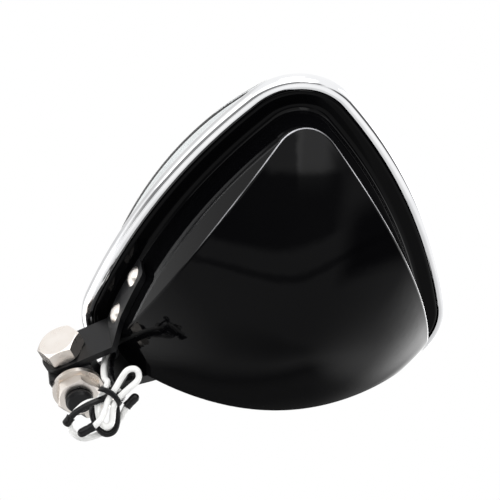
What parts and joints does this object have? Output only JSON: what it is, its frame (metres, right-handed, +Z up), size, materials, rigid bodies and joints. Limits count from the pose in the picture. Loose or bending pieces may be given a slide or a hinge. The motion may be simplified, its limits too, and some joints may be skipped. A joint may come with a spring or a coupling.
{
  "type": "motorcycle headlight",
  "caption": "Three-sided motorcycle headlight: gloss black pressed shell with a turned dome, chrome trim ring, bulging clear lens, and a clevis bracket that tilts on a threaded stud mount.",
  "frame": {"origin": "on the stud's axis, where its free thread begins behind the nut", "axes": "+Y along the stud, to the rear; the lens faces -Y; +Z up; +X is the side of the pivot bolt's head"},
  "size_m": [0.1722, 0.1127, 0.1835],
  "materials": {
    "black_enamel": "gloss",
    "satin_black": "satin",
    "chrome_trim": "mirror polished",
    "lens_glass": "clear",
    "bulb_quartz": "clear",
    "reflector_bright": "vapour plated",
    "dark_cap": "matt",
    "plated_steel": "bright plated",
    "black_rubber": "matt",
    "grey_rubber": "matt",
    "moulded_black": "matt",
    "white_sleeve": "soft gloss",
    "black_sleeve": "soft gloss"
  },
  "bodies": {
    "mount": {"pivot_eye": "satin_black", "stud_washer": "plated_steel", "stud_nut": "plated_steel"},
    "lamp": {"headlight_shell": "black_enamel", "trim_ring": "chrome_trim", "lens": "lens_glass", "lens_gasket": "black_rubber", "reflector": "reflector_bright", "bulb_glass": "bulb_quartz", "bulb_cap": "dark_cap", "bulb_base": "plated_steel", "bulb_blades": "plated_steel", "bulb_clip": "plated_steel", "bulb_plug": "moulded_black", "bulb_boot": "black_rubber", "bracket_right": "satin_black", "bracket_left": "satin_black", "bracket_rivets": "plated_steel", "pivot_bolt": "plated_steel", "pivot_nut": "plated_steel", "lead_grommet": "grey_rubber", "white_lead": "white_sleeve", "second_white_lead": "white_sleeve", "black_lead": "black_sleeve", "lead_hank": "white_sleeve", "lead_tie": "black_sleeve", "lead_ends": "black_sleeve", "inner_leads": "black_sleeve"}
  },
  "joints": [
    {"name": "aim_tilt", "type": "hinge", "parent": "mount", "child": "lamp", "pos_m": [0, -0.0212, 0], "axis": [1, 0, 0], "range_deg": [-6, 20]}
  ]
}
